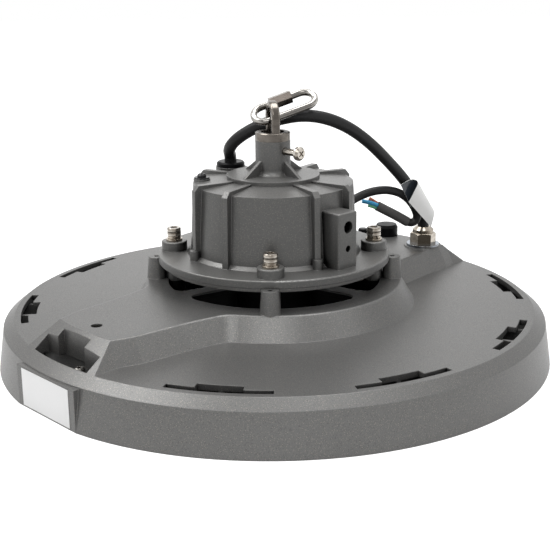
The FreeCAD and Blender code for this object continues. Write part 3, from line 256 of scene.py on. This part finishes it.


# plated and bare steel: tarnish in clouds; painted dark reflection on the faces turned to the
# front, painted shade on those turned down and in the grooves
plateLook = {
    "cloudScale": 160.0,
    "cloudStretch": (1.0, 1.0, 1.9),
    "cloudStops": [(0.45, 0.0), (0.75, 1.0)],
    "cloudShare": 0.5,
    "front": (0.15, -0.93, 0.33),
    "frontShare": 0.75,
    "under": (0.0, -0.3, -0.95),
    "underStops": [(0.05, 0.0), (0.5, 1.0)],
    "underShare": 0.8,
    "lineScale": 900.0,
    "lineStretch": (1.0, 1.0, 1.0),
    "lineStrength": 0.35,
    "lineDepth": 0.00003,
    "edgeRadius": 0.00035,
    "smoother": 0.04,
    "rougher": 0.1,
    "grooveScale": None,
}
screwNickel = {
    "color": (0.66, 0.62, 0.56, 1.0),
    "tarnishAndShade": (0.15, 0.125, 0.10, 1.0),
    "roughness": 0.17,
    "frontStops": [(0.86, 0.0), (0.97, 1.0)],
}
plates = {
    "nickelPlate": {
        "color": (0.50, 0.45, 0.385, 1.0),
        "tarnishAndShade": (0.07, 0.055, 0.04, 1.0),
        "roughness": 0.15,
        "frontStops": [(0.80, 0.0), (0.93, 1.0)],
    },
    "brightNickel": screwNickel,
    "ringedNickel": {
        **screwNickel,
        "grooveScale": 98.0,
        "grooveShadeStops": [(0.15, 1.0), (0.45, 0.0)],
        "grooveShadeShare": 0.6,
        "grooveStrength": 0.8,
        "grooveDepth": 0.0004,
    },
    "zincPlate": {
        "color": (0.52, 0.50, 0.47, 1.0),
        "tarnishAndShade": (0.06, 0.055, 0.05, 1.0),
        "roughness": 0.12,
        "frontStops": [(0.82, 0.0), (0.92, 1.0)],
    },
    "greySleeve": {
        "color": (0.25, 0.225, 0.20, 1.0),
        "tarnishAndShade": (0.10, 0.085, 0.075, 1.0),
        "roughness": 0.22,
        "frontStops": [(0.6, 0.0), (0.95, 1.0)],
    },
    "blueWasher": {
        "color": (0.24, 0.27, 0.31, 1.0),
        "tarnishAndShade": (0.14, 0.12, 0.10, 1.0),
        "roughness": 0.22,
        "frontStops": [(0.9, 0.0), (1.0, 1.0)],
    },
    "eyeSteel": {
        "color": (0.19, 0.172, 0.152, 1.0),
        "tarnishAndShade": (0.055, 0.048, 0.042, 1.0),
        "roughness": 0.22,
        "frontStops": [(0.85, 0.0), (1.0, 1.0)],
        "lineStretch": (0.2, 0.2, 1.4),
        "lineDepth": 0.00012,
        "edgeRadius": 0.0004,
    },
}


def makePlate(name, values):
    finish = Finish(name)
    # one dark colour serves the real tarnish and the painted shade and dark reflection
    tarnishAndShade = values["tarnishAndShade"]
    cloud = finish.noise(values["cloudScale"], stretch=values["cloudStretch"])
    # painted dark reflection: faces turned to the front blend towards the dark colour
    front = finish.facing(values["front"], values["frontStops"])
    # painted shade and dark reflection: faces turned down blend towards the dark colour
    under = finish.facing(values["under"], values["underStops"])
    stained = finish.ramp(cloud, values["cloudStops"])
    color = finish.blend(stained * values["cloudShare"], values["color"], tarnishAndShade)
    color = finish.blend(front * values["frontShare"], color, tarnishAndShade)
    color = finish.blend(under * values["underShare"], color, tarnishAndShade)
    lines = finish.noise(values["lineScale"], stretch=values["lineStretch"])
    bump = finish.bump(lines, values["lineStrength"], values["lineDepth"],
                       finish.edge(values["edgeRadius"]))
    if values["grooveScale"]:
        rings = finish.bands(values["grooveScale"])
        # painted shade in the grooves of the rings
        grooveShade = finish.ramp(rings, values["grooveShadeStops"])
        color = finish.blend(grooveShade * values["grooveShadeShare"], color, tarnishAndShade)
        bump = finish.bump(rings, values["grooveStrength"], values["grooveDepth"], bump)
    rough = finish.ramp(cloud, [(0.3, values["roughness"] - values["smoother"]),
                                (0.8, values["roughness"] + values["rougher"])])
    return finish.shine({"Base Color": color, "Roughness": rough, "Normal": bump, "Metallic": 1.0})


# rubber, plastic, paint, film and board: one color that changes a little from place to place
plainLook = {
    "grain": 900.0,
    "cloudShare": 0.1,
    "bumpStrength": 0.4,
    "depth": 0.00003,
    "change": 0.25,
    "roughChange": 0.06,
    "metallic": 0.0,
    "edgeRadius": 0.0004,
    "gloss": 0.5,
}
plains = {
    "blackCable": {"color": (0.012, 0.012, 0.0125), "roughness": 0.45, "grain": 500.0,
                   "depth": 0.00002, "gloss": 0.2},
    "sheathGrey": {"color": (0.070, 0.068, 0.066), "roughness": 0.65, "grain": 600.0, "gloss": 0.2},
    "blackPlastic": {"color": (0.004, 0.004, 0.0045), "roughness": 0.34, "grain": 700.0,
                     "gloss": 0.08},
    "blackSteel": {"color": (0.02, 0.02, 0.021), "roughness": 0.35, "change": 0.3, "metallic": 0.6},
    "blackRubber": {"color": (0.02, 0.02, 0.02), "roughness": 0.7},
    "milledPlate": {"color": (0.5, 0.5, 0.51), "roughness": 0.35, "grain": 500.0, "change": 0.1,
                    "metallic": 1.0},
    "whiteBoard": {"color": (0.80, 0.80, 0.78), "roughness": 0.35, "grain": 300.0,
                   "depth": 0.00002, "change": 0.04},
    "phosphor": {"color": (0.80, 0.60, 0.16), "roughness": 0.4, "grain": 2500.0,
                 "depth": 0.00004, "change": 0.1},
    "potting": {"color": (0.03, 0.03, 0.032), "roughness": 0.5},
    "whiteLabel": {"color": (0.66, 0.66, 0.66), "roughness": 0.38, "grain": 400.0,
                   "depth": 0.00001, "change": 0.03, "edgeRadius": 0.0001},
    "whiteFilm": {"color": (0.86, 0.86, 0.85), "roughness": 0.32, "grain": 160.0,
                  "depth": 0.00005, "change": 0.06, "edgeRadius": 0.0001},
    # painted dark reflection and shade for the tag's inner side
    "paintedReflectionFilm": {"color": (0.035, 0.042, 0.052), "roughness": 0.14, "grain": 260.0,
                 "depth": 0.0003, "change": 0.3, "edgeRadius": 0.0001},
    "blueCore": {"color": (0.03, 0.30, 0.55), "roughness": 0.35, "depth": 0.00001,
                 "change": 0.15},
    "brownCore": {"color": (0.36, 0.10, 0.05), "roughness": 0.35, "depth": 0.00001,
                  "change": 0.15},
    "earthCore": {"color": (0.12, 0.45, 0.25), "roughness": 0.35, "depth": 0.00001,
                  "change": 0.15},
}


def makePlain(name, values):
    finish = Finish(name)
    noise = finish.noise(values["grain"], 3.0, 0.6)
    cloud = finish.noise(values["grain"] * values["cloudShare"])
    darker, lighter = [tuple(min(1.0, channel * share) for channel in values["color"]) + (1.0,)
                       for share in (1 - values["change"], 1 + values["change"])]
    tone = finish.blend(noise * 0.5 + cloud * 0.5, darker, lighter)
    rough = finish.ramp(cloud, [(0.3, values["roughness"] - values["roughChange"]),
                                (0.7, values["roughness"] + values["roughChange"])])
    bump = finish.bump(noise, values["bumpStrength"], values["depth"],
                       finish.edge(values["edgeRadius"], 4))
    return finish.shine({"Base Color": tone, "Roughness": rough, "Normal": bump,
                         "Metallic": values["metallic"], "Specular IOR Level": values["gloss"]})


lens = {
    "color": (0.93, 0.95, 0.96, 1.0),
    "roughness": 0.06,
    "clearness": 0.85,
    "bending": 1.58,
    "waveScale": 60.0,
    "waveStrength": 0.1,
    "waveDepth": 0.00005,
}


def makeLensClear(name, values):
    finish = Finish(name)
    wave = finish.noise(values["waveScale"])
    bump = finish.node("ShaderNodeBump", values={"Height": wave, "Strength": values["waveStrength"],
                                                 "Distance": values["waveDepth"]})
    return finish.shine({"Base Color": values["color"], "Roughness": values["roughness"],
                         "Transmission Weight": values["clearness"], "IOR": values["bending"],
                         "Normal": bump})


finishes = {
    "greyPowderCoat": makePowderCoat("greyPowderCoat", powderCoat),
    "driverPowderCoat": makePowderCoat("driverPowderCoat", driverCoat),
    "clearLens": makeLensClear("clearLens", lens),
}
for name, values in plates.items():
    finishes[name] = makePlate(name, {**plateLook, **values})
for name, values in plains.items():
    finishes[name] = makePlain(name, {**plainLook, **values})

# which nodes wear which finish
wearers = {
    "greyPowderCoat": ("lamp_housing", "driver_base_cover", "bezel_ring"),
    "driverPowderCoat": ("driver_housing",),
    "clearLens": ("lens_plate",),
    "nickelPlate": ("bezel_screws", "led_plate_screws", "cover_screws", "ridge_screw",
                    "flat_washers", "spring_washers", "lamp_gland_body", "lamp_gland_cap"),
    "brightNickel": ("set_screw",),
    "ringedNickel": ("flange_screws",),
    "zincPlate": ("lug_screw", "link_body"),
    "greySleeve": ("link_nut",),
    "blueWasher": ("lamp_gland_washer",),
    "eyeSteel": ("hook_eye",),
    "blackCable": ("lamp_cable", "mains_lead"),
    "blackPlastic": ("top_gland", "rear_gland", "vent_plug", "small_plug"),
    "blackSteel": ("top_screw_washer", "top_screw"),
    "blackRubber": ("lens_gasket", "cover_gasket"),
    "milledPlate": ("led_plate",),
    "whiteBoard": ("led_board",),
    "phosphor": ("led_chips",),
    "potting": ("driver_module",),
    "whiteLabel": ("blank_label",),
    "whiteFilm": ("cable_tag",),
    "blueCore": ("blue_core",),
    "brownCore": ("brown_core",),
    "earthCore": ("earth_core",),
}
for name, wearing in wearers.items():
    for node in wearing:
        slots = nodes[node].data.materials
        slots.clear()
        slots.append(finishes[name])
bpy.ops.object.select_all(action="DESELECT")
print("finishes set")

# cords: the points of their tubes, in millimetres
lampCable = {
    "points": [(-31.8, 42.0, 129.91), (-31.8, 42.0, 135.41), (-32.9, 36.6, 140.5),
               (-29.5, 30.5, 147.0), (-22.0, 27.0, 153.5), (-10.5, 23.5, 160.2),
               (4.5, 18.0, 166.0), (21.5, 14.5, 169.3), (39.0, 18.0, 166.5),
               (56.5, 29.0, 157.5), (73.0, 43.0, 143.5), (88.0, 57.5, 127.0),
               (102.0, 70.5, 110.5), (113.5, 82.0, 92.5), (120.0, 89.0, 78.0),
               (120.7, 90.0, 68.2)],
    "radius": 0.0045,
    "length": 0.2496,
}
mainsLead = {
    "points": [(55.4, 52.0, 94.94), (64.5, 59.5, 98.6), (76.0, 60.5, 103.2), (89.5, 64.5, 103.6),
               (101.8, 70.2, 98.5), (110.4, 75.0, 89.0), (115.0, 77.2, 77.5),
               (109.0, 76.4, 72.8), (98.0, 75.0, 80.0), (81.7, 73.0, 88.7)],
    "radius": 0.00325,
    "length": 0.1162,
}


def toMetres(point):
    return Vector(point) / 1000


def makeCurve(name, kind, places, radius, finish):
    data = bpy.data.curves.new(name, "CURVE")
    data.dimensions = "3D"
    data.bevel_depth = radius
    data.bevel_resolution = 6
    data.use_fill_caps = True
    spline = data.splines.new(kind)
    spline.points.add(len(places) - 1)
    for control, place in zip(spline.points, places):
        control.co = (*place, 1.0)
    spline.order_u = 3
    spline.use_endpoint_u = True
    data.materials.append(finishes[finish])
    curve = bpy.data.objects.new(name, data)
    scene.collection.objects.link(curve)
    return curve


def makeCord(name, values):
    places = [toMetres(point) for point in values["points"]]
    cord = makeCurve(name, "NURBS", places, values["radius"], "blackCable")
    cord.data.resolution_u = 16
    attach(cord, "lamp")
    return cord


# tag: a strip of film folded over in front of the cords, upper and lower corner of each crease
tag = {
    "creases": [((98.5, 61.2, 107.9), (108.0, 69.2, 88.2)),
                ((104.8, 64.1, 111.1), (119.5, 75.8, 86.4)),
                ((109.8, 64.3, 112.0), (125.6, 77.6, 85.5)),
                ((112.8, 62.6, 109.6), (127.8, 76.3, 83.2)),
                ((110.9, 60.6, 106.3), (127.0, 75.4, 79.4)),
                ((105.3, 62.9, 93.7), (125.2, 77.8, 70.0))],
    "thickness": 0.0004,
    "startSize": 0.01,
    "roundings": 4,
    "sharpAngle": 50,
}


def pickVertices(test):
    mesh = bmesh.from_edit_mesh(bpy.context.object.data)
    bpy.ops.mesh.select_all(action="DESELECT")
    for vertex in mesh.verts:
        if test(vertex.co):
            vertex.select_set(True)
    mesh.select_flush(True)
    bmesh.update_edit_mesh(bpy.context.object.data)


def near(*targets):
    return lambda place: any((place - target).length < 0.00005 for target in targets)


def makeTag(values):
    creases = [(toMetres(top), toMetres(bottom)) for top, bottom in values["creases"]]
    top, bottom = creases[0]
    half = values["startSize"] / 2
    bpy.ops.mesh.primitive_plane_add(size=values["startSize"])
    piece = bpy.context.object
    piece.name = "foldedTag"
    bpy.ops.object.mode_set(mode="EDIT")
    # one edge of the plane is left and becomes the first crease; the others are pulled from it
    pickVertices(lambda place: place.x > 0)
    bpy.ops.mesh.delete(type="VERT")
    for start, end in ((Vector((-half, -half, 0)), top), (Vector((-half, half, 0)), bottom)):
        pickVertices(near(start))
        bpy.ops.transform.translate(value=end - start)
    for nextTop, nextBottom in creases[1:]:
        pickVertices(near(top, bottom))
        bpy.ops.mesh.extrude_edges_move(TRANSFORM_OT_translate={"value": nextTop - top})
        pickVertices(near(bottom + nextTop - top))
        bpy.ops.transform.translate(value=nextBottom - bottom - nextTop + top)
        top, bottom = nextTop, nextBottom
    bpy.ops.object.mode_set(mode="OBJECT")
    # painted dark reflection and shade as a dark film on the inner side, white on the outer side
    # and along the rim
    piece.data.materials.append(finishes["paintedReflectionFilm"])
    piece.data.materials.append(finishes["whiteFilm"])
    rounding = piece.modifiers.new("rounding", "SUBSURF")
    rounding.levels = values["roundings"]
    rounding.render_levels = values["roundings"]
    rounding.boundary_smooth = "PRESERVE_CORNERS"
    wall = piece.modifiers.new("wall", "SOLIDIFY")
    wall.thickness = values["thickness"]
    wall.offset = 0.0
    wall.material_offset = 1
    wall.material_offset_rim = 1
    for modifier in ("rounding", "wall"):
        bpy.ops.object.modifier_apply(modifier=modifier)
    bpy.ops.object.shade_smooth_by_angle(angle=math.radians(values["sharpAngle"]))
    bpy.ops.object.select_all(action="DESELECT")
    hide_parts("cable_tag")
    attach(piece, "lamp")
    return piece


# stripped end of the mains lead: a grey sleeve and three cores
leadEnd = {
    "sleeveLength": 0.029,
    "sleeveRadius": 0.0038,
    "coreRadius": 0.0016,
    "cores": {
        "blue": [(81.9, 71.9, 89.4), (76.0, 70.5, 92.2), (69.5, 69.5, 93.4)],
        "brown": [(81.9, 74.0, 90.2), (78.0, 74.2, 92.8), (75.4, 75.0, 94.2)],
        "earth": [(81.8, 72.6, 87.0), (77.5, 71.8, 89.2), (74.4, 71.6, 89.8)],
    },
}


def readSpline(cord):
    bare = bpy.data.objects.new("bareLine", cord.data.copy())
    bare.data.bevel_depth = 0.0
    line = bpy.data.meshes.new_from_object(bare)
    places = [vertex.co.copy() for vertex in line.vertices]
    bpy.data.meshes.remove(line)
    bpy.data.curves.remove(bare.data)
    return places


def makeTube(name, kind, places, radius, finish):
    tube = makeCurve(name, kind, places, radius, finish)
    bpy.ops.object.select_all(action="DESELECT")
    tube.select_set(True)
    bpy.context.view_layer.objects.active = tube
    bpy.ops.object.convert(target="MESH")
    bpy.ops.object.select_all(action="DESELECT")
    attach(tube, "lamp")
    return tube


def makeLeadEnd(values, lead):
    # the sleeve covers the lead from its bare end on
    places = readSpline(lead)
    if (places[0] - toMetres(mainsLead["points"][-1])).length > 0.001:
        places.reverse()
    covered = [places[0]]
    travelled = 0.0
    for place in places[1:]:
        travelled += (place - covered[-1]).length
        if travelled > values["sleeveLength"]:
            break
        covered.append(place)
    pieces = [makeTube("leadSleeve", "POLY", covered, values["sleeveRadius"], "sheathGrey")]
    for name, route in values["cores"].items():
        core = makeTube(name + "coreSkin", "NURBS", [toMetres(point) for point in route],
                        values["coreRadius"], name + "Core")
        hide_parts(name + "_core")
        pieces.append(core)
    return pieces


def layCords():
    foldedTag = makeTag(tag)
    lamp = makeCord("lampCableSkin", lampCable)
    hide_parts("lamp_cable")
    lead = makeCord("mainsLeadSkin", mainsLead)
    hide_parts("mains_lead")
    leadPieces = makeLeadEnd(leadEnd, lead)


layCords()
print("cords and tag made")

# floor, background and lamps
studio = {
    "floorSize": 8.0,
    "floorTone": 0.86,
    "floorGlow": 1.65,
    "glowShare": 0.5,
    "shadeRadius": 0.19,
    "worldTone": 0.45,
    "lampAim": (0.0, 0.0, 0.08),
    "lamps": [
        ("keyLamp", (-0.95, 0.1, 1.45), 0.9, 16.0),
        ("topLamp", (0.25, 0.3, 1.7), 0.9, 14.0),
        ("rightLamp", (1.2, -0.7, 1.0), 0.8, 2.5),
        ("frontLamp", (-0.1, -1.25, 1.2), 0.8, 7.5),
        ("backLamp", (0.0, 1.8, 0.6), 1.2, 2.0),
    ],
}


def showsWhite(graph):
    total = graph.node("ShaderNodeLightPath", out="Is Camera Ray")
    outputs = total.socket.node.outputs
    for output in ("Is Glossy Ray", "Is Transmission Ray"):
        total = total.calc("MAXIMUM", total, Wire(graph, outputs[output]))
    return total


def makeFloor(values):
    bpy.ops.mesh.primitive_plane_add(size=values["floorSize"], location=(0, 0, 0))
    floor = bpy.context.object
    floor.name = "floor"
    finish = Finish("floorPaint")
    paint = finish.node("ShaderNodeBsdfDiffuse", values={"Color": grey(values["floorTone"])})
    glow = finish.node("ShaderNodeEmission", values={"Color": grey(1.0),
                                                     "Strength": values["floorGlow"]})
    # no glow under the light, where the floor shows through the slots only
    x, y = finish.axes()[:2]
    outside = x * x + y * y > values["shadeRadius"] ** 2
    share = showsWhite(finish) * outside * values["glowShare"]
    upper = finish.node("ShaderNodeMixShader", values={0: share, 1: paint, 2: glow})
    # seen from below the floor is clear, so that the underside can be looked at
    clear = finish.node("ShaderNodeBsdfTransparent")
    below = finish.node("ShaderNodeNewGeometry", out="Backfacing")
    finish.show(finish.node("ShaderNodeMixShader", values={0: below, 1: upper, 2: clear}))
    floor.data.materials.append(finish.material)


def makeWorld(values):
    world = bpy.data.worlds.new("studioWorld")
    world.use_nodes = True
    scene.world = world
    sky = Graph(world.node_tree, "ShaderNodeOutputWorld")
    lit, seen = [sky.node("ShaderNodeBackground", values={"Color": grey(1.0), "Strength": strength})
                 for strength in (values["worldTone"], 1.0)]
    sky.show(sky.node("ShaderNodeMixShader", values={0: showsWhite(sky), 1: lit, 2: seen}))


def makeLamps(values):
    for name, place, size, power in values["lamps"]:
        bpy.ops.object.light_add(type="AREA", location=place)
        lamp = bpy.context.object
        lamp.name = name
        lamp.data.size = size
        lamp.data.energy = power
        lamp.rotation_mode = "QUATERNION"
        aim = Vector(values["lampAim"]) - Vector(place)
        lamp.rotation_quaternion = aim.to_track_quat("-Z", "Y")


makeFloor(studio)
makeWorld(studio)
makeLamps(studio)
scene.view_settings.view_transform = "Standard"
print("studio set")
